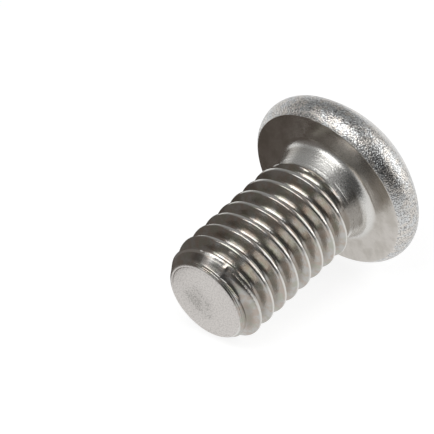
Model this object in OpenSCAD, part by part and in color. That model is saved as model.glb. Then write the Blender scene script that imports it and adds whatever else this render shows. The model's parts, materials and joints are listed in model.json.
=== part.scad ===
// Machine screw with a low domed head, a hexagon socket and a metric coarse thread, in millimetres.
// It lies as it comes to rest on a table: on the rim of its head and on one thread crest near the tip.
// The table is z = 0. The screw points along X with its tip toward -X, and the origin is on the table
// under the middle of the screw's bounding box.

/* [Thread] */
// Diameter over the crests, as measured on a rolled thread of 6 mm nominal size
thread_d = 5.88; // [5.7:0.02:6]
// Axial distance from one crest to the next
pitch = 1; // [0.9:0.05:1.25]
// Diameter at the bottom of the groove
root_d = 4.76; // [4.6:0.02:4.9]
// Axial width of the flat land along a crest
crest_land = 0.17; // [0.1:0.01:0.22]
// Angle between a flank and a plane across the axis, in degrees
flank_angle = 30; // [25:0.5:30]
// Position of the crest around the axis at the tip face, in degrees from straight down toward the back
thread_start = -68; // [-180:1:180]

/* [Shank] */
// Length from the tip face to the bearing face of the head
shank_length = 10; // [8:0.5:20]
// Diameter of the flat tip face
tip_face_d = 4.56; // [4.2:0.02:4.68]
// Angle between the tip chamfer and the axis, in degrees
tip_chamfer_angle = 35; // [30:1:45]
// Diameter of the plain neck between the thread and the head
neck_d = 5.54; // [5.1:0.02:5.6]
// Distance from the bearing face to the end of the thread groove
neck_length = 1.1; // [0.7:0.05:1.5]
// Length over which the groove rises to the neck
groove_runout = 0.35; // [0.3:0.05:1]
// Length over which the crest sinks to the neck
crest_runout = 0.45; // [0.3:0.05:1]
// Radius of the fillet between the neck and the bearing face
neck_fillet = 0.45; // [0.3:0.05:0.7]

/* [Head] */
// Diameter of the head at the widest part of its rim
head_d = 10.2; // [9.8:0.05:10.8]
// Height of the head from the bearing face to the crown
head_height = 3; // [2.9:0.05:3.4]
// Radius of the rounded rim
rim_radius = 1.13; // [1:0.01:1.3]
// Height of the widest part of the rim above the bearing face
rim_height = 0.88; // [0.7:0.01:0.95]
// Diameter of the flat crown, in which the socket's mouth lies
crown_d = 5.8; // [5.7:0.05:6.2]

/* [Socket] */
// Width across the flats of the hexagon
socket_flats = 4.05; // [3.8:0.01:4.2]
// Depth of the hexagon's straight walls below the crown
socket_depth = 2.3; // [2:0.05:2.45]
// Turn of the hexagon about the axis, in degrees
socket_turn = 15; // [0:1:59]
// Diameter of the countersink at the socket's mouth
mouth_d = 5.6; // [5.2:0.05:5.65]
// Full angle of that countersink, in degrees
mouth_angle = 120; // [90:5:130]
// Full angle of the shallow cone at the bottom of the socket, in degrees
bottom_angle = 160; // [150:1:170]

/* [Hidden] */
$fn = 96;

// Radii and stations along the axis, measured from the tip face
crest_r = thread_d / 2;
root_r = root_d / 2;
tip_r = tip_face_d / 2;
neck_r = neck_d / 2;
chamfer_slope = tan(tip_chamfer_angle);
flank_slope = tan(flank_angle);
groove_end = shank_length - neck_length;
groove_full = groove_end - groove_runout;
crown_z = shank_length + head_height;

// Facets of the thread in one turn
turn_facets = 40;
// How far the foot of the thread ridge is sunk into the core
foot_sink = 0.1;
// How far buried ridge surfaces stay below the surface of the core
bury = 0.02;
// Axial distance from the tip face to the first point of the ridge
tip_clearance = 0.06;
// Overlap of cutting bodies past the surface that they cut
over = 0.5;

// The ridge starts and ends inside the core, so that only its formed part shows
foot_r = root_r - foot_sink;
foot_half = min(half_width(foot_r), pitch / 2 - bury / 2);
ridge_first = 2 * tip_clearance - foot_half;
ridge_last = groove_end + neck_length / 8;
crest_sink_end = groove_full + pitch * 0.15;
crest_sink_start = crest_sink_end - crest_runout;
ridge_steps = ceil((ridge_last - ridge_first) / pitch * turn_facets);

// Rim and dome: the dome arc is tangent to the rim arc and ends at the crown's edge
rim_r = head_d / 2 - rim_radius;
crown_r = crown_d / 2;
dome_k = (head_height - rim_height) / rim_radius;
dome_m = (rim_radius ^ 2 + crown_r ^ 2 - rim_r ^ 2 + head_height ^ 2 - rim_height ^ 2) / (2 * rim_radius);
dome_qa = dome_k ^ 2 - 1;
dome_qb = 2 * head_height - 2 * dome_m * dome_k;
dome_qc = dome_m ^ 2 - crown_r ^ 2 - head_height ^ 2;
dome_centre = (-dome_qb - sqrt(dome_qb ^ 2 - 4 * dome_qa * dome_qc)) / (2 * dome_qa);
dome_r = dome_m - dome_k * dome_centre;
// Where the dome arc takes over from the rim arc, and where the rim arc meets the bearing face
joint_x = rim_r + rim_radius * rim_r / (dome_r - rim_radius);
joint_y = rim_height + rim_radius * (rim_height - dome_centre) / (dome_r - rim_radius);
bearing_r = rim_r + sqrt(rim_radius ^ 2 - rim_height ^ 2);

// Resting tilt: the floor touches the rim arc and the first crest corner that reaches it
rim_z = shank_length + rim_height;
crest_phase = -thread_start / 360 - floor(-thread_start / 360);
floor_corners = [for (k = [0:2]) for (p = [1, 2]) ridge_section((k + crest_phase) * pitch)[p]];
rest_tilt = min([for (c = floor_corners) touch_tilt(c)]);
rest_lift = rim_r * cos(rest_tilt) + rim_radius - rim_z * sin(rest_tilt);
// Ends of the bounding box along X: the top of the tip face and the bottom of the crown's edge
low_x = -tip_r * sin(rest_tilt);
high_x = crown_z * cos(rest_tilt) + crown_r * sin(rest_tilt);

// Tilt at which the floor touches both the rim arc and a point [z, r] of the screw's lower outline
function touch_tilt(c) =
    let (dz = rim_z - c[0], dr = rim_r - c[1])
    atan2(dr, dz) + asin(rim_radius / norm([dz, dr]));

// Half the axial width of the thread ridge at radius r
function half_width(r) = crest_land / 2 + (crest_r - r) * flank_slope;

// Radius of the chamfer cone that trims the ridge near the tip
function trim_r(z) = tip_r - bury + chamfer_slope * z;

// Radius to which the crest rises at station z, sinking toward the neck at the head end
function rise_r(z) =
    let (t = min(1, max(0, (z - crest_sink_start) / crest_runout)))
    crest_r - t * (crest_r - neck_r + 2 * bury);

// Ridge cross-section at station z as [z, r] corners: foot and crest on the tip side, then crest
// and foot on the head side. Each flank is cut where the chamfer cone crosses it.
function ridge_section(z) =
    let (
        top = rise_r(z),
        flank = crest_land / 2 + crest_r * flank_slope,
        k = chamfer_slope * flank_slope,
        foot_z = max(z - foot_half, tip_clearance),
        foot_a = min(foot_r, trim_r(foot_z) - bury),
        cut_b = (trim_r(z) - chamfer_slope * flank) / (1 - k),
        cut_c = (trim_r(z) + chamfer_slope * flank) / (1 + k),
        b = max(foot_a + bury, min(top, cut_b)),
        c = min(top, cut_c),
        foot_d = min(foot_r, trim_r(z + foot_half) - bury)
    )
    [
        [foot_z, foot_a],
        [max(z - half_width(b), tip_clearance), b],
        [z + half_width(c), c],
        [z + foot_half, foot_d]
    ];

// Right-hand helical ridge, as one closed strip of cross-sections
module thread_ridge() {
    stations = [for (i = [0:ridge_steps]) ridge_first + i * (ridge_last - ridge_first) / ridge_steps];
    points = [
        for (z = stations)
        let (a = thread_start + 360 * z / pitch)
        for (c = ridge_section(z))
        [c[1] * cos(a), c[1] * sin(a), c[0]]
    ];
    sides = [
        for (i = [0:ridge_steps - 1])
        for (j = [0:3])
        let (p = 4 * i + j, q = 4 * i + (j + 1) % 4)
        each [[p, q, q + 4], [p, q + 4, p + 4]]
    ];
    last = 4 * ridge_steps;
    polyhedron(points, concat(sides, [[3, 2, 1, 0], [last, last + 1, last + 2, last + 3]]));
}

// Half outline of the core: tip face, chamfer, groove bottom, run-out and neck
module core_outline() {
    polygon([
        [0, 0],
        [tip_r, 0],
        [root_r, (root_r - tip_r) / chamfer_slope],
        [root_r, groove_full],
        [neck_r, groove_end],
        [neck_r, shank_length + rim_height],
        [0, shank_length + rim_height]
    ]);
}

// Half outline of the fillet under the head
module fillet_outline() {
    translate([neck_r, shank_length - neck_fillet])
    difference() {
        square([neck_fillet, neck_fillet]);
        translate([neck_fillet, 0]) circle(neck_fillet);
    }
}

// Half outline of the head, with y = 0 at the bearing face
module head_outline() {
    polygon([[0, 0], [bearing_r, 0], [rim_r, rim_height], [joint_x, joint_y], [0, joint_y]]);
    intersection() {
        translate([rim_r, rim_height]) circle(rim_radius);
        square([head_d, head_height]);
    }
    intersection() {
        translate([0, dome_centre]) circle(dome_r);
        translate([0, joint_y]) square([joint_x, head_height - joint_y]);
    }
}

// Everything that is removed for the drive: countersunk mouth, hexagon and shallow bottom cone
module socket() {
    mouth_slope = tan(mouth_angle / 2);
    mouth_floor = socket_flats / 4;
    bottom_cone = socket_flats / 2 / tan(bottom_angle / 2);
    translate([0, 0, crown_z - (mouth_d / 2 - mouth_floor) / mouth_slope])
        cylinder(
            h = (mouth_d / 2 - mouth_floor) / mouth_slope + over,
            r1 = mouth_floor,
            r2 = mouth_d / 2 + over * mouth_slope
        );
    translate([0, 0, crown_z - socket_depth])
        rotate([0, 0, socket_turn])
        cylinder(h = socket_depth + over, d = socket_flats / cos(30), $fn = 6);
    translate([0, 0, crown_z - socket_depth - bottom_cone])
        cylinder(h = bottom_cone, r1 = 0, r2 = socket_flats / 2);
}

// The screw with its axis along Z and its tip face at z = 0
module upright_screw() {
    difference() {
        union() {
            rotate_extrude() {
                core_outline();
                fillet_outline();
                translate([0, shank_length]) head_outline();
            }
            thread_ridge();
        }
        socket();
    }
}

module screw() {
    color([0.74, 0.73, 0.71])
    translate([-(low_x + high_x) / 2, 0, rest_lift])
    rotate([0, 90 - rest_tilt, 0])
    upright_screw();
}

screw();
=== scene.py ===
# %% [markdown]
# A short machine screw of bright stainless steel lies on a pale floor: a low domed head with a
# hexagon socket, a plain neck under it, and a right-hand coarse thread cut off square at the tip.
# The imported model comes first. It fixes where the screw is and how big it is, and everything below
# is built around it, in metres and in the same frame.
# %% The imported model
import json
import math
import bpy
import numpy as np
from mathutils import Matrix, Vector


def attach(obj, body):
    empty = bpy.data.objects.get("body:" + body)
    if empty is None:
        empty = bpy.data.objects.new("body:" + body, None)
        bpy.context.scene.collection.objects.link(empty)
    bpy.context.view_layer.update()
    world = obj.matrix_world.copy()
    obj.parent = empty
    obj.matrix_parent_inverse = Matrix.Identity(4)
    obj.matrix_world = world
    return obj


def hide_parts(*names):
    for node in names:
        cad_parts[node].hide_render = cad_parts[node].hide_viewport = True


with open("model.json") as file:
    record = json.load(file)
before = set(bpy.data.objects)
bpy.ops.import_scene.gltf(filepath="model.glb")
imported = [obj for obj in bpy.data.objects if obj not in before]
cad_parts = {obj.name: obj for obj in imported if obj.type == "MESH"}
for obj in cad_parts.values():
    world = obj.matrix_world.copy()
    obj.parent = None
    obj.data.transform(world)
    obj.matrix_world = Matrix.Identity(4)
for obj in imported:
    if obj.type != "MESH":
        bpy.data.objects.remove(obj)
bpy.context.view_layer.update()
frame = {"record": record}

# %% [markdown]
# The screw lies tilted, because it rests on the rim of its head and on one crest near the tip.
# Its shape is far easier to write along its own axis, so the mesh is worked out upright, in
# millimetres, with the tip face at z = 0, and laid down by three vectors at the end. The packed
# record gives the axis and one point on it, the middle of the thread.
# %% The screw's own axes
MM = 0.001
mounts = {m["name"]: m for m in frame["record"]["mounts"]}
THREAD_MIDDLE = 4.9
axis_up = -np.array(mounts["thread"]["axis"], float)
axis_up /= np.linalg.norm(axis_up)
across = np.array([0.0, 1.0, 0.0])
toward_floor = np.cross(across, axis_up)
tip_centre = np.array(mounts["thread"]["pos_m"], float) - THREAD_MIDDLE * MM * axis_up
print("tip centre in mm", (tip_centre / MM).round(4), "axis", axis_up.round(5))

# %% [markdown]
# The camera stands where the photograph's stood, far away with a long lens, so the screw is seen
# almost without perspective. Its place was found by fitting the tip face, the bearing face and
# eight thread crests. It is made first, so that each step can be looked at.
# %% Camera
FRAME_PIXELS = 434
FOCAL_PIXELS = 4583.5
CAMERA_AZIMUTH, CAMERA_ELEVATION = math.radians(-49.12), math.radians(32.13)
SENSOR_WIDTH = 36.0
NEAREST, FARTHEST = 0.01, 10.0
TIP_FROM_CAMERA = (-0.641, 4.307, 234.26)


def add_object(name, data):
    """An object that shows data, put into the scene."""
    made = bpy.data.objects.new(name, data)
    bpy.context.scene.collection.objects.link(made)
    return made


camera_back = np.array([
    math.sin(CAMERA_AZIMUTH) * math.cos(CAMERA_ELEVATION),
    -math.cos(CAMERA_AZIMUTH) * math.cos(CAMERA_ELEVATION),
    math.sin(CAMERA_ELEVATION),
])
camera_right = np.array([math.cos(CAMERA_AZIMUTH), math.sin(CAMERA_AZIMUTH), 0.0])
camera_down = np.cross(camera_right, camera_back)
right_mm, down_mm, away_mm = TIP_FROM_CAMERA
camera_place = tip_centre + MM * (away_mm * camera_back - right_mm * camera_right - down_mm * camera_down)

camera_data = bpy.data.cameras.new("camera")
camera_data.sensor_width = SENSOR_WIDTH
camera_data.lens = FOCAL_PIXELS / FRAME_PIXELS * SENSOR_WIDTH
camera_data.clip_start, camera_data.clip_end = NEAREST, FARTHEST
camera = add_object("camera", camera_data)
camera.location = camera_place
camera.rotation_mode = "QUATERNION"
camera.rotation_quaternion = Vector(-camera_back).to_track_quat("-Z", "Y")
bpy.context.scene.camera = camera
print("lens", round(camera_data.lens, 1), "mm, camera at", (camera_place / MM).round(1))

# %% [markdown]
# The shank is one surface over two parameters, the turn round the axis and the height along it, and
# a few simple shapes are joined in it. Steel that was rolled and pressed has no true edges, so they
# are joined with smooth minima and maxima, which round each corner. Small marks are bells.
# %% Ways to join shapes


def smooth_min(a, b, blend):
    """The smaller of a and b. Where they cross, a quarter of blend is taken off for a round corner."""
    share = np.clip(0.5 + 0.5 * (b - a) / blend, 0, 1)
    return b + (a - b) * share - blend * share * (1 - share)


def smooth_max(a, b, blend):
    """The larger of a and b with a round corner: minus the smooth minimum of the negatives."""
    return -smooth_min(-a, -b, blend)


def smooth_step(x, low, high):
    """Rises from 0 at low to 1 at high as 3s^2 - 2s^3."""
    s = np.clip((x - low) / (high - low), 0, 1)
    return s * s * (3 - 2 * s)


def bell(x, middle, width):
    """A bump of height 1: e to the minus ((x - middle) / width) squared."""
    return np.exp(-((x - middle) / width) ** 2)


print("where 1 meets 1, a blend of 0.2 leaves", smooth_min(1.0, 1.0, 0.2))

# %% [markdown]
# A thread is a ridge whose place along the axis moves on by one pitch in each turn, so the distance
# from the nearest crest is a saw-tooth of height minus turn. The ridge has straight flanks and a
# narrow land, which falls off a little toward the tip. Under the head a sinking ceiling takes the
# crest down and a rising floor fills the groove, until only a plain neck is left. It widens a
# little toward the head and runs into it with a fillet.
# %% Thread and neck
PITCH = 1.0
CREST_R, ROOT_R = 2.94, 2.38
CREST_LAND = 0.17
LAND_FALL, LAND_TOP = 1.1, 0.05
FLANK_SLOPE = math.tan(math.radians(30))
START_TURN = -68 / 360
CREST_BLEND, ROOT_BLEND = 0.038, 0.16
SHANK_LENGTH = 10.0
NECK_R, NECK_END_R = 2.57, 2.84
NECK_FILLET = 0.44
NECK_FLARE = math.radians(17)
NECK_START, NECK_BEND = 8.65, 1.17
NECK_END = SHANK_LENGTH - NECK_FILLET * (1 - math.sin(NECK_FLARE))
CREST_SINK, GROOVE_RISE, PLAIN_NECK = (8.22, 8.58), (8.60, 8.92), (8.84, 9.0)
CEILING_R, FLOOR_R = CREST_R + 0.1, ROOT_R - 0.1
SINK_BLEND, RISE_BLEND = 0.10, 0.05


def from_crest(height, turns):
    """Distance along the axis from the nearest crest, at most half a pitch either way: a saw-tooth
    of height minus turn."""
    return ((height / PITCH - turns + START_TURN + 0.5) % 1 - 0.5) * PITCH


def neck_radius(height):
    """Rises from the neck's first radius to its last as a power of the way along it."""
    way = np.clip((height - NECK_START) / (NECK_END - NECK_START), 0, 1)
    return NECK_R + (NECK_END_R - NECK_R) * way**NECK_BEND


def thread_radius(height, turns):
    """Flank = crest radius minus distance past the land over the slope, and land = a parabola. The
    ridge is the smaller of the two, but at least the root. Then ceiling, floor and neck are blended in."""
    x = from_crest(height, turns)
    flank = CREST_R - (np.abs(x) - CREST_LAND / 2) / FLANK_SLOPE
    land = CREST_R - LAND_FALL * (x - LAND_TOP) ** 2
    ridge = smooth_min(land, smooth_max(ROOT_R, flank, ROOT_BLEND), CREST_BLEND)
    neck = neck_radius(height)
    ceiling = CEILING_R - (CEILING_R - neck) * smooth_step(height, *CREST_SINK)
    groove_floor = FLOOR_R - (FLOOR_R - neck) * smooth_step(height, *GROOVE_RISE)
    body = smooth_max(smooth_min(ridge, ceiling, SINK_BLEND), groove_floor, RISE_BLEND)
    plain = smooth_step(height, *PLAIN_NECK)
    return body * (1 - plain) + neck * plain


print("radius at a crest and in a groove", thread_radius(np.array([5.0, 5.5]), START_TURN).round(3))

# %% [markdown]
# The tip shows how it was made. Its chamfer was there before the thread, and stays whole up to a
# notch, where the first groove opens into it. The dies pushed a fine lip and a hollow round the
# chamfer's foot. They also left burrs and an open seam along the first crest. Bells in height, in
# turn and in distance from the crest make these marks, and waves round the screw make them ragged.
# A mark is given by its size and by the middle and width of each of its bells.
# %% Tip and its marks
TIP_R = 2.28
CHAMFER_ANGLE = 35
CHAMFER_SLOPE = math.tan(math.radians(CHAMFER_ANGLE))
CHAMFER_BLEND = 0.03
WHOLE_FROM, NOTCH = 0.1, (209 / 360, 218 / 360)
LIP_RINGS = [(0.020, 0.115, 0.018), (-0.028, 0.165, 0.020), (0.012, 0.21, 0.015)]
SEAM_DEPTH, SEAM_WAVES, SEAM_TOP = 0.05, 61, 1.2
SEAM_PLACE, SEAM_WIDTH = -0.05, 0.025
SEAM_OPENS, SEAM_CLOSES = (213 / 360, 213 / 360 + 0.02), (282 / 360 - 0.06, 282 / 360)
RAGGED_EDGE, EDGE_WAVES = (0.022, (0.545, 0.035), (0.02, 0.03)), 47
CREST_BURR = (0.05, (0.4785, 0.005), (0.06, 0.04))
NOTCH_BURR = (0.05, (NOTCH[0] - 0.002, 0.005), (0.62, 0.14))


def waves(turns, count, swing):
    """Count sine waves in a turn, with 1 as their top and 1 - 2 * swing as their foot."""
    return 1 - swing + swing * np.sin(2 * np.pi * turns * count)


def burr(size, in_turn, in_height, turns, height):
    """Size times a bell in the turn times a bell in the height."""
    return size * bell(turns, *in_turn) * bell(height, *in_height)


def tip_marks(height, turns, x):
    """Rings of the lip, minus the seam beside the crest, plus the first crest's ragged edge and burrs."""
    lip = sum(size * bell(height, middle, width) for size, middle, width in LIP_RINGS)
    opening = smooth_step(turns, *SEAM_OPENS) * (1 - smooth_step(turns, *SEAM_CLOSES)) * (height < SEAM_TOP)
    seam = SEAM_DEPTH * opening * waves(turns, SEAM_WAVES, 0.4) * bell(x, SEAM_PLACE, SEAM_WIDTH)
    past_crest = height - (turns - START_TURN) * PITCH
    edge = burr(*RAGGED_EDGE, turns, past_crest) * waves(turns, EDGE_WAVES, 0.5)
    return lip - seam + edge + burr(*CREST_BURR, turns, past_crest) + burr(*NOTCH_BURR, turns, height)


def shank_radius(height, turns):
    """The smaller of thread and chamfer cone, plus the marks. Up to the notch, and below the first
    crest, the cone fills the groove: there it is the larger of the two."""
    body = thread_radius(height, turns)
    cone = TIP_R + CHAMFER_SLOPE * height
    part_turn = turns % 1 + 0 * height
    below_crest = height < (part_turn - START_TURN) * PITCH
    whole = below_crest & (part_turn > WHOLE_FROM) & (part_turn < NOTCH[1])
    opened = smooth_step(part_turn, *NOTCH)
    body = np.where(whole, body * opened + np.maximum(body, cone) * (1 - opened), body)
    marks = tip_marks(height, part_turn, from_crest(height, turns))
    return smooth_min(body, cone, CHAMFER_BLEND) + marks


print("radius at 0.3 and 0.6 mm from the tip", shank_radius(np.array([0.3, 0.6]), 0.25).round(3))

# %% [markdown]
# The head is turned from one outline: fillet, flat bearing face, rounded rim, a dome that runs on
# from the rim without a kink, a narrow flat crown and the countersink. Arcs are given by centre,
# radius and angle. The dome's centre lies on the axis, where one arc touches the rim arc and passes
# through the crown's edge, and its height is the root of a quadratic equation. The outer edge of
# the bearing face gets a small arc, because pressed steel has no true edge, and the thin bright line
# that runs along such an edge is its reflection.
# %% Head outline
HEAD_R, HEAD_HEIGHT = 5.097, 3.0
RIM_RADIUS, RIM_HEIGHT = 1.13, 0.88
BEARING_EDGE = 0.05
CROWN_R = 2.9
CROWN_Z = SHANK_LENGTH + HEAD_HEIGHT
MOUTH_R, MOUTH_BEVEL = 2.8, (0.02, 0.006)
MOUTH_SLOPE = math.tan(math.radians(60))


def arc(centre, radius, start, end, steps):
    """Points centre + radius * (cos, sin) of angles from start to end in degrees, a row for each."""
    t = np.radians(np.linspace(start, end, steps))
    return np.column_stack([centre[0] + radius * np.cos(t), centre[1] + radius * np.sin(t)])


rim_centre_r = HEAD_R - RIM_RADIUS
radius_fall = (HEAD_HEIGHT - RIM_HEIGHT) / RIM_RADIUS
squares = RIM_RADIUS**2 + CROWN_R**2 - rim_centre_r**2 + HEAD_HEIGHT**2 - RIM_HEIGHT**2
radius_at_zero = squares / (2 * RIM_RADIUS)
squared = radius_fall**2 - 1
linear = 2 * HEAD_HEIGHT - 2 * radius_at_zero * radius_fall
constant = radius_at_zero**2 - CROWN_R**2 - HEAD_HEIGHT**2
dome_centre = (-linear - math.sqrt(linear * linear - 4 * squared * constant)) / (2 * squared)
dome_radius = radius_at_zero - radius_fall * dome_centre
rim_to_dome = math.degrees(math.atan2(RIM_HEIGHT - dome_centre, rim_centre_r))
dome_to_crown = math.degrees(math.atan2(HEAD_HEIGHT - dome_centre, CROWN_R))
edge_tilt = math.degrees(math.asin((RIM_HEIGHT - BEARING_EDGE) / (RIM_RADIUS - BEARING_EDGE)))
edge_r = rim_centre_r + (RIM_RADIUS - BEARING_EDGE) * math.cos(math.radians(edge_tilt))
fillet_r = NECK_END_R + NECK_FILLET * math.cos(NECK_FLARE)
fillet_start = 180 - math.degrees(NECK_FLARE)

head_outline = np.vstack([
    arc((fillet_r, SHANK_LENGTH - NECK_FILLET), NECK_FILLET, fillet_start, 90, steps=18)[1:],
    np.linspace((fillet_r, SHANK_LENGTH), (edge_r, SHANK_LENGTH), 14)[1:],
    arc((edge_r, SHANK_LENGTH + BEARING_EDGE), BEARING_EDGE, -90, -edge_tilt, steps=6)[1:],
    arc((rim_centre_r, SHANK_LENGTH + RIM_HEIGHT), RIM_RADIUS, -edge_tilt, rim_to_dome, steps=30)[1:],
    arc((0.0, SHANK_LENGTH + dome_centre), dome_radius, rim_to_dome, dome_to_crown, steps=26)[1:],
    [(MOUTH_R + MOUTH_BEVEL[0], CROWN_Z)],
    [(MOUTH_R, CROWN_Z - MOUTH_BEVEL[1])],
])
print("dome radius", round(dome_radius, 3), "mm, head outline of", len(head_outline), "points")

# %% [markdown]
# All of it becomes one grid, 240 columns round and a row for each step of the outline. The tip face
# comes first, with a shallow pressed groove near its edge and a small arc for the edge itself. Rows
# on the thread follow the helix, dense where the crest turns over and wide apart on the flanks, and
# are held between the tip and the head. After one turn such a row has climbed by one pitch, so at
# the seam it joins the row that starts one pitch higher.
# %% Rows of the shank
COLUMNS = 240
turn = np.arange(COLUMNS) / COLUMNS
TIP_EDGE = 0.09
GROOVE_DEPTH, GROOVE_INSET, GROOVE_WIDTH = 0.014, 0.13, 0.028
PLAIN_FACE_R, RING_START_R = 2.02, 2.06
LIP_START, LIP_END, HELIX_START = 0.047, 0.25, 0.26
ROW_OFFSETS = np.array([
    -0.15, -0.12, -0.10, -0.085, -0.07, -0.06, -0.05, -0.035, -0.01, 0.02, 0.05, 0.08, 0.105,
    0.14, 0.2, 0.27, 0.35, 0.43, 0.5, 0.57, 0.65, 0.72, 0.79,
])
ROWS_A_TURN = len(ROW_OFFSETS)
SPARE = 0.1


def rings(outline):
    """A (radius, height) outline turned round the axis: each point gives one row of equal values."""
    return [np.repeat(outline[:, i:i + 1], COLUMNS, axis=1) for i in (0, 1)]


tip_edge_r = TIP_R - TIP_EDGE * (1 / math.cos(math.radians(CHAMFER_ANGLE)) - CHAMFER_SLOPE)
face_r = np.concatenate([np.linspace(0, PLAIN_FACE_R, 11), np.linspace(RING_START_R, tip_edge_r, 12)])
face_z = GROOVE_DEPTH * bell(face_r, TIP_R - GROOVE_INSET, GROOVE_WIDTH)
tip_edge = arc((tip_edge_r, TIP_EDGE), TIP_EDGE, -90, -CHAMFER_ANGLE, steps=8)[1:]
tip_rows = rings(np.vstack([np.column_stack([face_r, face_z]), tip_edge]))
lip_z = np.linspace(LIP_START, LIP_END, 17)[:, None] + 0 * turn
tip_rows = [np.vstack([tip_rows[0], shank_radius(lip_z, turn[None, :])]), np.vstack([tip_rows[1], lip_z])]

crest_heights = np.arange(-2, 12)[:, None] * PITCH - START_TURN * PITCH
start_heights = np.sort((crest_heights + ROW_OFFSETS * PITCH).ravel())
above_tip = start_heights > HELIX_START - (1 + SPARE) * PITCH
start_heights = start_heights[above_tip & (start_heights < NECK_END + SPARE * PITCH)]
helix_z = np.clip(start_heights[:, None] + turn * PITCH, HELIX_START, NECK_END)
helix_rows = [shank_radius(helix_z, turn[None, :]), helix_z]
HELIX_ROWS = (len(tip_rows[0]), len(tip_rows[0]) + len(helix_z))
print("rows on the tip", len(tip_rows[0]), "and on the thread and neck", len(helix_z))

# %% [markdown]
# The head's rows are its outline turned round. The socket's wall follows a hexagon, whose radius is
# the apothem over the cosine of the angle from the nearest flat. The countersink runs down to it,
# so the wall's upper edge rises and falls in arcs, and the bottom is a shallow cone.
# %% Rows of the head and socket
SOCKET_FLATS, SOCKET_DEPTH = 4.05, 2.3
SOCKET_TURN = 15 / 360
BOTTOM_SLOPE = math.tan(math.radians(10))

head_rows = rings(head_outline)
from_flat = ((turn - SOCKET_TURN) * 2 * np.pi) % (np.pi / 3) - np.pi / 6
hexagon = SOCKET_FLATS / 2 / np.cos(from_flat)
wall_top = CROWN_Z - (MOUTH_R - hexagon) / MOUTH_SLOPE
wall_bottom = CROWN_Z - SOCKET_DEPTH
mouth = np.linspace(0, 1, 5)[1:, None]
wall = np.linspace(0, 1, 9)[1:, None]
bottom_r = hexagon * np.linspace(1, 0, 10)[1:, None]
socket_rows = [
    np.vstack([MOUTH_R + (hexagon - MOUTH_R) * mouth, hexagon + 0 * wall, bottom_r]),
    np.vstack([
        CROWN_Z + (wall_top - CROWN_Z) * mouth,
        wall_top + (wall_bottom - wall_top) * wall,
        wall_bottom - np.maximum(0, SOCKET_FLATS / 2 - bottom_r) * BOTTOM_SLOPE,
    ]),
]
grid_r, grid_z = (np.vstack([tip_rows[i], helix_rows[i], head_rows[i], socket_rows[i]]) for i in (0, 1))
print("grid of", grid_r.shape, "points,", 2 * grid_r.size, "triangles at most")

# %% [markdown]
# The grid is laid down along the screw's axes and put into a mesh in one go.
# %% The screw's mesh


def lay_down(radius, height):
    """Point = tip centre + height along the axis + radius * (cos toward the floor, sin across)."""
    angle = 2 * np.pi * turn
    return tip_centre + MM * (
        height[..., None] * axis_up
        + (radius * np.cos(angle))[..., None] * toward_floor
        + (radius * np.sin(angle))[..., None] * across
    )


def grid_faces(row_count):
    """Quads between neighbouring rows and columns. In the last column a helix row joins the row one
    whole turn further on, and every other row joins itself."""
    index = np.arange(row_count * COLUMNS).reshape(row_count, COLUMNS)
    following = np.roll(index, -1, axis=1)
    rows = np.arange(*HELIX_ROWS)
    following[rows, -1] = index[np.minimum(rows + ROWS_A_TURN, HELIX_ROWS[1] - 1), 0]
    return np.stack([index[:-1], index[1:], following[1:], following[:-1]], axis=-1).reshape(-1, 4)


points = lay_down(grid_r, grid_z).reshape(-1, 3)
mesh = bpy.data.meshes.new("steel_screw")
mesh.from_pydata(points, [], grid_faces(len(grid_r)))
mesh.update()
screw = add_object("steel_screw", mesh)
print("mesh box in mm", (points.min(0) / MM).round(3), (points.max(0) / MM).round(3))

# %% [markdown]
# Some points fell on each other: at the two poles, and along the held ends of the helix rows. They
# are merged, which leaves one closed skin. Edges sharper than 30 degrees stay sharp, such as those
# of the socket, and the rest is shaded smooth.
# %% Doubles merged and edges marked
import bmesh

SAME_PLACE, NO_LENGTH = 1e-7, 1e-8
SHARP_ANGLE = math.radians(30)

work = bmesh.new()
work.from_mesh(mesh)
bmesh.ops.remove_doubles(work, verts=work.verts, dist=SAME_PLACE)
bmesh.ops.dissolve_degenerate(work, edges=work.edges, dist=NO_LENGTH)
bmesh.ops.recalc_face_normals(work, faces=work.faces)
open_edges = sum(not e.is_manifold for e in work.edges)
volume = work.calc_volume(signed=True) / MM**3
work.to_mesh(mesh)
work.free()
mesh.shade_smooth()
mesh.set_sharp_from_angle(angle=SHARP_ANGLE)
triangles = sum(len(p.vertices) - 2 for p in mesh.polygons)
print("triangles", triangles, "open edges", open_edges, "volume", round(volume, 1), "mm3")

# %% [markdown]
# Every finish is written as a formula over the surface. A small class wraps a node socket, so that
# 1 - mask or a * b adds the Math nodes, and its one method adds any other node.
# %% Sockets that can be used in formulas


def connect(value, where):
    """Links a Sock to a node's input, or sets the input to a number, a vector or a colour of alpha 1."""
    if isinstance(value, Sock):
        value.tree.links.new(value.socket, where)
    else:
        where.default_value = (*value, 1) if where.type == "RGBA" else value


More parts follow.
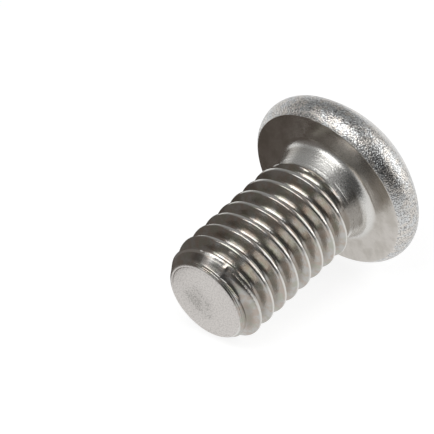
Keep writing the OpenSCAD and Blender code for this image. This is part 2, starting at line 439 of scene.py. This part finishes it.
class Sock:
    """A node socket that can be used in a formula. Each operator adds the Math node that does it."""

    def __init__(self, tree, socket=None):
        self.tree = tree
        self.socket = socket

    def node(self, kind, settings=None, out=0, **inputs):
        """Adds a node of any kind. Settings are set first, then sockets by name, or by number as i0, i1."""
        made = self.tree.nodes.new(kind)
        for key, value in (settings or {}).items():
            setattr(made, key, value)
        for key, value in inputs.items():
            numbered = key[0] == "i" and key[1:].isdigit()
            connect(value, made.inputs[int(key[1:]) if numbered else key.replace("_", " ")])
        return Sock(self.tree, made.outputs[out] if made.outputs else None)

    def math(self, operation, *others):
        """A Math node with this socket first and the others after it."""
        values = {f"i{n}": v for n, v in enumerate((self, *others))}
        return self.node("ShaderNodeMath", {"operation": operation}, **values)

    def swapped(self, operation, first):
        """A Math node with a plain number first and this socket second."""
        return self.node("ShaderNodeMath", {"operation": operation}, i0=first, i1=self)

    def __add__(self, other):
        return self.math("ADD", other)

    def __mul__(self, other):
        return self.math("MULTIPLY", other)

    def __sub__(self, other):
        return self.math("SUBTRACT", other)

    def __truediv__(self, other):
        return self.math("DIVIDE", other)

    def __rsub__(self, other):
        return self.swapped("SUBTRACT", other)

    def __rtruediv__(self, other):
        return self.swapped("DIVIDE", other)

    __radd__ = __add__
    __rmul__ = __mul__

    def step(self, low, high):
        """Rises smoothly from 0 at low to 1 at high, or falls where low is the larger."""
        return self.node("ShaderNodeMapRange", {"interpolation_type": "SMOOTHSTEP"},
                         Value=self, From_Min=low, From_Max=high)

    def noise(self, scale, detail=2.0, roughness=0.5):
        """Noise over this vector, about 0 to 1, with features one scale-th of a unit wide."""
        return self.node("ShaderNodeTexNoise", Vector=self, Scale=scale, Detail=detail, Roughness=roughness)

    def cells(self, scale, smoothness):
        """Distance to scattered points over this vector, about 0 to 1, with its creases smoothed."""
        return self.node("ShaderNodeTexVoronoi", {"feature": "SMOOTH_F1"},
                         Vector=self, Scale=scale, Smoothness=smoothness)

    def dot(self, toward):
        """Dot product of this vector with a fixed one: how far it reaches that way."""
        return self.node("ShaderNodeVectorMath", {"operation": "DOT_PRODUCT"},
                         out="Value", i0=self, i1=toward)

    def blend(self, first, second):
        """Mixes two colours by this value as the share of the second. On a Mix node, the two colours
        are inputs 6 and 7 and the mixed one is output 2."""
        return self.node("ShaderNodeMix", {"data_type": "RGBA"}, out=2, i0=self, i6=first, i7=second)


# %% [markdown]
# Patterns are placed along the screw's own axis. Object coordinates are turned upright by a Mapping
# node, in millimetres, with the tip at the origin. From them come the radius, the turn round the
# axis and, for the thread, two more: how far a point is along the helix, and how far across it from
# the crest. Both run on through the seam of the turn, and break only at the bottom of the groove.
# %% Coordinates along the screw


class Steel:
    """A material with its Principled shader and the screw's own coordinates as sockets."""

    def __init__(self, name):
        self.material = bpy.data.materials.new(name)
        self.material.use_nodes = True
        self.tree = self.material.node_tree
        self.shader = self.tree.nodes["Principled BSDF"]
        start = Sock(self.tree)
        upright = Matrix((toward_floor, across, axis_up))
        self.place = start.node(
            "ShaderNodeMapping",
            Vector=start.node("ShaderNodeTexCoord", out="Object"),
            Location=upright @ Vector(-tip_centre / MM),
            Rotation=upright.to_euler("XYZ"),
            Scale=(1 / MM, 1 / MM, 1 / MM),
        )
        split = self.place.node("ShaderNodeSeparateXYZ", Vector=self.place).socket.node
        self.x, self.y, self.height = (Sock(self.tree, split.outputs[i]) for i in range(3))
        self.radius = (self.x * self.x + self.y * self.y).math("SQRT")
        self.turn = self.y.math("ARCTAN2", self.x) * (0.5 / math.pi)

    def helix(self):
        """Length along the crest line and distance across it, both in millimetres."""
        place = self.height * (1 / PITCH) - self.turn + START_TURN
        number = (place + 0.5).math("FLOOR")
        return (number + self.turn) * (2 * math.pi * CREST_R), (place - number) * PITCH

    def side(self, degrees, low, high):
        """1 on one side of the screw and 0 elsewhere: a smooth step of the cosine of the angle round
        the axis from a point to the given turn."""
        a = math.radians(degrees)
        return ((self.x * math.cos(a) + self.y * math.sin(a)) / self.radius).step(low, high)

    def vector(self, x=0.0, y=0.0, z=0.0):
        """Three values joined as one vector."""
        return self.place.node("ShaderNodeCombineXYZ", X=x, Y=y, Z=z)

    def feed(self, **values):
        """Sets or links sockets of the shader by name. Every one of these steels is bare metal."""
        for name, value in {"Metallic": 1.0, **values}.items():
            connect(value, self.shader.inputs[name.replace("_", " ")])

    def bump(self, height, depth_mm, under=None):
        """A Bump node whose full height is depth_mm, laid over an earlier bump if one is given."""
        inputs = {"Height": height, "Strength": 1.0, "Distance": depth_mm * MM}
        if under is not None:
            inputs["Normal"] = under
        return self.place.node("ShaderNodeBump", **inputs)


print("the axis reads as", (Matrix((toward_floor, across, axis_up)) @ Vector(axis_up)).to_tuple(3))

# %% [markdown]
# The head keeps the skin it got in the die and in the pickling bath: satin, and pitted all over with
# dents less than a tenth of a millimetre wide. In the highlights they sparkle, and in the dark
# reflections they show as grain. Cells and noise of that size make the relief, a broad slow noise
# varies how deep it is, and specks of duller steel lie in it. The rim slid along the die, so it has
# more of all this than the dome.
# %% Pitted head
HEAD_STEEL, WARM_HEAD_STEEL, DULL_STEEL = (0.65, 0.66, 0.66), (0.69, 0.655, 0.61), (0.29, 0.285, 0.28)
RIM_FADE = (12.7, 11.5)
SWELL_DEPTH, PIT_DEPTH, GRAIN_DEPTH = 0.012, 0.010, 0.031

head_steel = Steel("pitted_head_steel")
on_rim = head_steel.height.step(*RIM_FADE)
broad = head_steel.place.noise(scale=0.8, detail=3.0)
pits = head_steel.place.cells(scale=12.0, smoothness=0.3)
grain = head_steel.place.noise(scale=12.0, roughness=0.6)
swell = head_steel.place.noise(scale=3.0)
relief = head_steel.bump(swell, SWELL_DEPTH)
relief = head_steel.bump(pits * (0.3 + 1.0 * broad), PIT_DEPTH, relief)
relief = head_steel.bump(grain * (0.4 + 0.6 * on_rim), GRAIN_DEPTH, relief)
dull = head_steel.place.noise(scale=13.0, detail=1.0).step(0.54, 0.36) * (0.2 + 0.8 * on_rim)
warmth = head_steel.place.noise(scale=1.8, detail=3.0, roughness=0.6).step(0.40, 0.60)
head_steel.feed(
    Base_Color=dull.blend(warmth.blend(HEAD_STEEL, WARM_HEAD_STEEL), DULL_STEEL),
    Roughness=0.12 + 0.10 * head_steel.place.noise(scale=5.0, detail=3.0),
    Normal=relief,
)
print("pitted head of", len(head_steel.tree.nodes), "nodes")

# %% [markdown]
# The thread was rolled between two hardened dies, so its flanks are burnished smooth and carry fine
# drag lines along the helix, with a breath of brown and green from the lubricant. The lines are
# noise stretched along the crest and squeezed across it. Soft dents, fainter on the chamfer, bend
# the reflections a little.
# %% Relief of the rolled thread
DRAG_ALONG, DRAG_ACROSS = 0.35, 14.0
DENT_DEPTH, FINE_GRAIN_DEPTH, DRAG_DEPTH = 0.007, 0.003, 0.003
CHAMFER_FADE = (0.7, 1.5)

thread_steel = Steel("rolled_thread_steel")
along, beside = thread_steel.helix()
drag = thread_steel.vector(along * DRAG_ALONG, beside * DRAG_ACROSS)
drag = drag.noise(scale=1.0, detail=3.0, roughness=0.6)
dents = thread_steel.place.noise(scale=4.5, detail=4.0, roughness=0.6)
dents = dents * (0.4 + thread_steel.height.step(*CHAMFER_FADE))
fine_grain = thread_steel.place.noise(scale=13.0, roughness=0.6)
relief = thread_steel.bump(dents, DENT_DEPTH)
relief = thread_steel.bump(fine_grain, FINE_GRAIN_DEPTH, relief)
thread_steel.feed(Roughness=0.12 + 0.14 * drag, Normal=thread_steel.bump(drag, DRAG_DEPTH, relief))
print("rolled thread of", len(thread_steel.tree.nodes), "nodes, without its colours")

# %% [markdown]
# The crests carry a lighter line, a painted highlight, which is painted dimmer on one side.
# Painted shade darkens the grooves on one side and makes them browner, darkens part of the chamfer
# on one side, and darkens one side where the thread ends. Each of these is a mask: a band in height
# or across the crest, times a side of the screw. They are laid over the tints one after another.
# %% Colours of the rolled thread
THREAD_STEEL, BROWN_STEEL, GREEN_STEEL = (0.49, 0.48, 0.46), (0.46, 0.405, 0.36), (0.425, 0.43, 0.37)
# Colours and sides of the painted shade and the painted highlight.
CHAMFER_SHADE_STEEL, SIDE_SHADE_STEEL = (0.17, 0.165, 0.16), (0.30, 0.28, 0.255)
GROOVE_SHADE_STEEL, CREST_HIGHLIGHT_STEEL = (0.22, 0.19, 0.155), (0.76, 0.75, 0.72)
CHAMFER_SHADE_SIDE, SHADED_SIDE = (185, 0.89, 0.98), (265, 0.84, 0.96)
GROOVE_SHADE_SIDE, DIM_HIGHLIGHT_SIDE = (280, 0.86, 0.98), (218, 0.88, 0.97)
CHAMFER_SHADE_START, CHAMFER_SHADE_END = (0.22, 0.32), (0.66, 0.54)
THREAD_ENDS, GROOVE_STARTS = (8.25, 8.6), (0.16, 0.34)
BRIGHT_LINE, BRIGHT_EDGE = 0.022, (0.082, 0.038)

tint = thread_steel.place.noise(scale=2.2, detail=3.0, roughness=0.65)
stain = thread_steel.place.noise(scale=1.6, detail=3.0, roughness=0.65).step(0.5, 0.62)
# Painted shade: part of the chamfer, on one side, is darker.
chamfer_shade = thread_steel.height.step(*CHAMFER_SHADE_START) * thread_steel.height.step(*CHAMFER_SHADE_END)
chamfer_shade = chamfer_shade * thread_steel.side(*CHAMFER_SHADE_SIDE) * (0.4 + 0.8 * tint)
# Painted shade: one side of the thread's end is darker.
side_shade = thread_steel.side(*SHADED_SIDE) * thread_steel.height.step(*THREAD_ENDS)
# Painted shade: the grooves are darker and browner on one side.
groove_shade = beside.math("ABSOLUTE").step(*GROOVE_STARTS) * thread_steel.side(*GROOVE_SHADE_SIDE)
# Painted highlight: a lighter line along the crests, dimmer on one side.
crest_highlight = (beside - BRIGHT_LINE).math("ABSOLUTE").step(*BRIGHT_EDGE) * (0.4 + 0.65 * tint)
crest_highlight = crest_highlight * (1 - 0.85 * thread_steel.side(*DIM_HIGHLIGHT_SIDE))
colour = tint.step(0.40, 0.60).blend(THREAD_STEEL, BROWN_STEEL)
for mask, over in (
    (0.8 * stain, GREEN_STEEL),
    (0.8 * chamfer_shade, CHAMFER_SHADE_STEEL),
    (0.8 * side_shade, SIDE_SHADE_STEEL),
    (0.55 * groove_shade, GROOVE_SHADE_STEEL),
    (crest_highlight, CREST_HIGHLIGHT_STEEL),
):
    colour = mask.blend(colour, over)
thread_steel.feed(Base_Color=colour)
print("rolled thread of", len(thread_steel.tree.nodes), "nodes")

# %% [markdown]
# The tip face was sheared from the wire and only lightly pressed. It is the dullest place: a pale
# satin grey with fine grain, a faint smear, and a patch of dark specks beside the middle where the
# steel tore. Distance from the middle of the patch, made uneven by noise, sets how much shows.
# %% Sheared tip
TIP_STEEL, DARK_STEEL = (0.69, 0.66, 0.635), (0.36, 0.345, 0.325)
TORN_PLACE = (0.26, 0.60)
TIP_SWELL_DEPTH, SPECK_DEPTH = 0.012, 0.010

tip_steel = Steel("sheared_tip_steel")
cloud = tip_steel.place.noise(scale=1.4, detail=3.0, roughness=0.6) - 0.5
down, aside = tip_steel.x - TORN_PLACE[0], tip_steel.y - TORN_PLACE[1]
from_torn = (down * down + aside * aside).math("SQRT")
smear = (from_torn - 1.5 * cloud).step(1.7, 0.3)
torn = (from_torn - 2.6 * cloud).step(0.80, 0.25)
speck = tip_steel.place.noise(scale=11.0, roughness=0.6)
mottle = torn * (0.15 + 0.85 * speck.step(0.47, 0.60)) + 0.25 * smear + 0.42 * speck.step(0.42, 0.64)
relief = tip_steel.bump(tip_steel.place.noise(scale=2.5), TIP_SWELL_DEPTH)
tip_steel.feed(
    Base_Color=mottle.blend(TIP_STEEL, DARK_STEEL),
    Roughness=0.30 + 0.2 * speck,
    Normal=tip_steel.bump(speck, SPECK_DEPTH, relief),
)
print("sheared tip of", len(tip_steel.tree.nodes), "nodes")

# %% [markdown]
# The bearing face and the neck under the head were pressed against a turned die. The face copied
# its soft rings and is smooth enough to mirror the floor. The neck is paler and rubbed to a satin,
# with fine streaks round it, so its highlight is broad. On one side, painted shade darkens its top to
# brown.
# %% Pressed bearing face and neck
FACE_STEEL, BROWN_FACE_STEEL, NECK_STEEL = (0.62, 0.59, 0.555), (0.52, 0.49, 0.45), (0.69, 0.68, 0.655)
RINGS_PER_MM, STREAKS_PER_MM = 6.0, 15.0
NECK_EDGE, NECK_SHADE_TOP = (3.3, 3.0), (9.62, 9.42)
FACE_SWELL_DEPTH, RING_DEPTH, STREAK_DEPTH, RUB_DEPTH = 0.01, 0.006, 0.005, 0.010

bearing_steel = Steel("pressed_bearing_steel")


def turned_lines(lines, detail, roughness):
    """Lines round the axis, such as a turned die leaves: noise over radius and height alone."""
    lines_place = bearing_steel.vector(bearing_steel.radius * lines, bearing_steel.height * lines)
    return lines_place.noise(1.0, detail, roughness)


ring = turned_lines(RINGS_PER_MM, detail=3.0, roughness=0.55)
streak = turned_lines(STREAKS_PER_MM, detail=2.0, roughness=0.6)
on_neck = bearing_steel.radius.step(*NECK_EDGE)
rub = bearing_steel.place.noise(scale=9.0, detail=3.0, roughness=0.6)
cloud = bearing_steel.place.noise(scale=1.1, detail=4.0, roughness=0.6)
face_colour = cloud.step(0.40, 0.66).blend(FACE_STEEL, BROWN_FACE_STEEL)
# Painted shade: the top of the neck is darker and browner on one side.
side_shade = bearing_steel.side(*SHADED_SIDE) * bearing_steel.height.step(*NECK_SHADE_TOP)
neck_colour = (side_shade * (0.65 + 0.6 * rub)).blend(NECK_STEEL, SIDE_SHADE_STEEL)
relief = bearing_steel.bump(bearing_steel.place.noise(scale=1.6), FACE_SWELL_DEPTH)
relief = bearing_steel.bump(ring, RING_DEPTH, relief)
relief = bearing_steel.bump(streak * on_neck, STREAK_DEPTH, relief)
bearing_steel.feed(
    Base_Color=on_neck.blend(face_colour, neck_colour),
    Roughness=0.17 + 0.10 * ring + 0.10 * rub * on_neck,
    Normal=bearing_steel.bump(rub * on_neck, RUB_DEPTH, relief),
)
print("bearing face of", len(bearing_steel.tree.nodes), "nodes")

# %% [markdown]
# The punch that formed the socket wiped its walls along the axis, so fine scratches run down them.
# They are noise that is squeezed across the axis.
# %% Punched socket
WIPE_ACROSS, WIPE_ALONG = 9.0, 0.7
WIPE_DEPTH = 0.006

socket_steel = Steel("punched_socket_steel")
wipe = socket_steel.vector(
    socket_steel.x * WIPE_ACROSS, socket_steel.y * WIPE_ACROSS, socket_steel.height * WIPE_ALONG
).noise(scale=1.0, detail=3.0)
socket_steel.feed(
    Base_Color=wipe.step(0.35, 0.65).blend(THREAD_STEEL, HEAD_STEEL),
    Roughness=0.22 + 0.16 * wipe,
    Normal=socket_steel.bump(wipe, WIPE_DEPTH),
)
print("punched socket of", len(socket_steel.tree.nodes), "nodes")

# %% [markdown]
# Each face takes its finish from where it lies along the axis and how far from it.
# %% Finishes on the mesh
FINISHES = [thread_steel, tip_steel, bearing_steel, head_steel, socket_steel]
THREAD, TIP, BEARING, HEAD, SOCKET = range(len(FINISHES))
TIP_FINISH_TOP, HEAD_FINISH_FOOT = 0.03, SHANK_LENGTH + 0.015
NECK_FINISH_FOOT, NECK_FINISH_R = 8.72, (2.55, NECK_END_R + 0.01)
SOCKET_FINISH_FOOT = wall_bottom - 1

for finish in FINISHES:
    mesh.materials.append(finish.material)
centres = np.empty(3 * len(mesh.polygons))
mesh.polygons.foreach_get("center", centres)
from_tip = (centres.reshape(-1, 3) - tip_centre) / MM
face_height = from_tip @ axis_up
face_radius = np.linalg.norm(from_tip - face_height[:, None] * axis_up, axis=1)
neck_faces = (face_height > NECK_FINISH_FOOT) & (face_height <= NECK_END)
neck_faces = neck_faces & (face_radius > NECK_FINISH_R[0]) & (face_radius < NECK_FINISH_R[1])
finish_index = np.full(len(mesh.polygons), THREAD, np.int32)
finish_index[face_height < TIP_FINISH_TOP] = TIP
finish_index[neck_faces | (face_height > NECK_END)] = BEARING
finish_index[face_height > HEAD_FINISH_FOOT] = HEAD
finish_index[(face_radius < MOUTH_R) & (face_height > SOCKET_FINISH_FOOT)] = SOCKET
mesh.polygons.foreach_set("material_index", finish_index)
mesh.update()
print("faces of each finish", np.bincount(finish_index))

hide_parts("screw")
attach(screw, "root")

# %% [markdown]
# The floor is a pale sheet. To the camera it glows up to white, but part of that is real diffuse
# paint, so the screw's soft shadow stays. Reflections in the steel see it pale too, and painted shade
# darkens it over four centimetres toward the camera.
# Every other ray sees plain pale paint under the lamps.
# %% Floor
FLOOR_PAINT = 0.82
CAMERA_PAINT, CAMERA_GLOW = 0.30, 0.84
MIRRORED_PAINT, MIRRORED_GLOW = (0.32, 0.08), (0.76, 0.06)
AWAY_FROM_CAMERA = (0.75, 0.66, 0.0)
FALLOFF_SPAN = (0.0, -0.040)


def grey(value):
    """A grey colour."""
    return (value, value, value)


def bare_material(name):
    """A material without any node, and a Sock to add them with."""
    material = bpy.data.materials.new(name)
    material.use_nodes = True
    material.node_tree.nodes.clear()
    return material, Sock(material.node_tree)


floor_mesh = bpy.data.meshes.new("floor")
floor_mesh.from_pydata([(-1, -1, 0), (1, -1, 0), (1, 1, 0), (-1, 1, 0)], [], [(0, 1, 2, 3)])
floor = add_object("floor", floor_mesh)
paint, begin = bare_material("floor_paint")
floor_mesh.materials.append(paint)
# Painted shade: the floor seen in reflections darkens toward the camera.
painted_falloff = begin.node("ShaderNodeTexCoord", out="Object").dot(AWAY_FROM_CAMERA).step(*FALLOFF_SPAN)
mirrored_paint, mirrored_glow = (
    painted_falloff.blend(grey(at_screw), grey(toward_camera))
    for at_screw, toward_camera in (MIRRORED_PAINT, MIRRORED_GLOW)
)
surfaces = {
    "plain": begin.node("ShaderNodeBsdfDiffuse", Color=grey(FLOOR_PAINT)),
    "seen": begin.node(
        "ShaderNodeAddShader",
        i0=begin.node("ShaderNodeBsdfDiffuse", Color=grey(CAMERA_PAINT)),
        i1=begin.node("ShaderNodeEmission", Color=grey(CAMERA_GLOW)),
    ),
    "mirrored": begin.node(
        "ShaderNodeAddShader",
        i0=begin.node("ShaderNodeBsdfDiffuse", Color=mirrored_paint),
        i1=begin.node("ShaderNodeEmission", Color=mirrored_glow),
    ),
}
surface = surfaces["plain"]
for ray, name in (("Is Glossy Ray", "mirrored"), ("Is Camera Ray", "seen")):
    of_that_ray = begin.node("ShaderNodeLightPath", out=ray)
    surface = begin.node("ShaderNodeMixShader", i0=of_that_ray, i1=surface, i2=surfaces[name])
begin.node("ShaderNodeOutputMaterial", Surface=surface)
print("floor shows", ", ".join(surfaces))

# %% [markdown]
# Steel shows what stands round it, so the studio matters as much as the finish. The side toward the
# camera stays dim, which gives the steel its dark bands. A pale backdrop stands low behind the
# screw, and the rest of the room is mid grey. The world is plain white for the camera alone. Each
# part of the room is a smooth step of the dot product of a ray's direction and the way to that part.
# %% World
ROOM_GREY, DIM_GREY, BACKDROP_GREY, SEEN_GREY = 0.32, 0.08, 0.95, 1.0
DIM_TOWARD, DIM_EDGE = (-0.42, -0.90, 0.10), (0.58, 0.86)
BACKDROP_TOWARD, BACKDROP_EDGE, BACKDROP_TOP = (0.87, 0.50, 0.0), (-0.17, 0.4), (0.40, 0.02)

studio = bpy.data.worlds.new("studio")
bpy.context.scene.world = studio
studio.use_nodes = True
studio.node_tree.nodes.clear()
sky = Sock(studio.node_tree)
direction = sky.node("ShaderNodeTexCoord", out="Generated")
upward = sky.node("ShaderNodeSeparateXYZ", out="Z", Vector=direction)
dim_side = direction.dot(DIM_TOWARD).step(*DIM_EDGE)
backdrop = direction.dot(BACKDROP_TOWARD).step(*BACKDROP_EDGE) * upward.step(*BACKDROP_TOP)
room = backdrop.blend(dim_side.blend(grey(ROOM_GREY), grey(DIM_GREY)), grey(BACKDROP_GREY))
seen_world = sky.node("ShaderNodeLightPath", out="Is Camera Ray").blend(room, grey(SEEN_GREY))
sky.node("ShaderNodeOutputWorld", Surface=sky.node("ShaderNodeBackground", Color=seen_world))
print("world of", len(studio.node_tree.nodes), "nodes")

# %% [markdown]
# Three lamps light it: a large softbox to the right, a small one close over the thread from the
# left, which makes the short bright streaks on the crests and on the neck, and a faint fill behind
# that one. A lamp's power is worked out from the brightness that its face should have.
# %% Softboxes
SCREW_MIDDLE = Vector((0, 0, 0.005))


def softbox(name, azimuth, elevation, distance, width, height, radiance):
    """A rectangular lamp that faces the screw from azimuth degrees round from +X toward +Y. Its power is
    radiance times pi times its area, so radiance 1 looks as bright as white paint."""
    data = bpy.data.lights.new(name, "AREA")
    data.shape = "RECTANGLE"
    data.size, data.size_y = width, height
    data.energy = radiance * math.pi * width * height
    lamp = add_object(name, data)
    a, e = math.radians(azimuth), math.radians(elevation)
    toward_lamp = Vector((math.cos(a) * math.cos(e), math.sin(a) * math.cos(e), math.sin(e)))
    lamp.location = distance * toward_lamp + SCREW_MIDDLE
    lamp.rotation_mode = "QUATERNION"
    lamp.rotation_quaternion = (-toward_lamp).to_track_quat("-Z", "Y")
    lamp.visible_camera = False


softbox("right_softbox", azimuth=-49, elevation=28, distance=0.20, width=0.183, height=0.17, radiance=1.75)
softbox("left_softbox", azimuth=181, elevation=59, distance=0.0402, width=0.031, height=0.030, radiance=2.4)
softbox("left_fill", azimuth=152, elevation=44, distance=0.20, width=0.06, height=0.10, radiance=0.8)

# %% [markdown]
# Bright metal on a pale floor loses its shape. Two dark sheets stand close to the thread on its far
# side, a round one and a low one behind it, as painted dark reflections. Only reflections see them.
# They cast no shadow, and the camera looks through them.
# %% Painted dark reflections
# Colours of the painted dark reflections.
REFLECTION_GREY, REFLECTION_BROWN = (0.175, 0.16, 0.15), (0.11, 0.095, 0.085)
ROUND_CARD_MIDDLE, ROUND_CARD_RADIUS, ROUND_CARD_POINTS = np.array([-4.9, 6.0, 5.9]), 5.9, 24
ROUND_CARD_ACROSS, ROUND_CARD_UP = np.array([0.756, 0.65, 0.0]), np.array([0.0, 0.0, 1.0])
LOW_CARD = np.array([(-8, 6.2, 0), (4, 6.2, 0), (4, 6.8, 5.5), (-8, 6.8, 5.5)])


def reflection_sheet(name, corners, colour):
    """A sheet that glows in a dark colour, given by its corners in millimetres: a painted dark reflection,
    which only reflections see.
    """
    card_mesh = bpy.data.meshes.new(name)
    card_mesh.from_pydata((corners * MM).tolist(), [], [list(range(len(corners)))])
    matt, begin = bare_material(name)
    begin.node("ShaderNodeOutputMaterial", Surface=begin.node("ShaderNodeEmission", Color=colour))
    card_mesh.materials.append(matt)
    card = add_object(name, card_mesh)
    card.visible_camera = card.visible_shadow = card.visible_diffuse = False


card_turn = np.arange(ROUND_CARD_POINTS)[:, None] / ROUND_CARD_POINTS * 2 * np.pi
card_rim = np.cos(card_turn) * ROUND_CARD_ACROSS + np.sin(card_turn) * ROUND_CARD_UP
reflection_sheet("painted_reflection_left", ROUND_CARD_MIDDLE + ROUND_CARD_RADIUS * card_rim, REFLECTION_GREY)
reflection_sheet("painted_reflection_behind", LOW_CARD, REFLECTION_BROWN)
print("cards of", ROUND_CARD_POINTS, "and", len(LOW_CARD), "corners")

# %% [markdown]
# Colours are shown as they are, without a film curve.
# %% Colours, and the end
bpy.context.scene.view_settings.view_transform = "Standard"
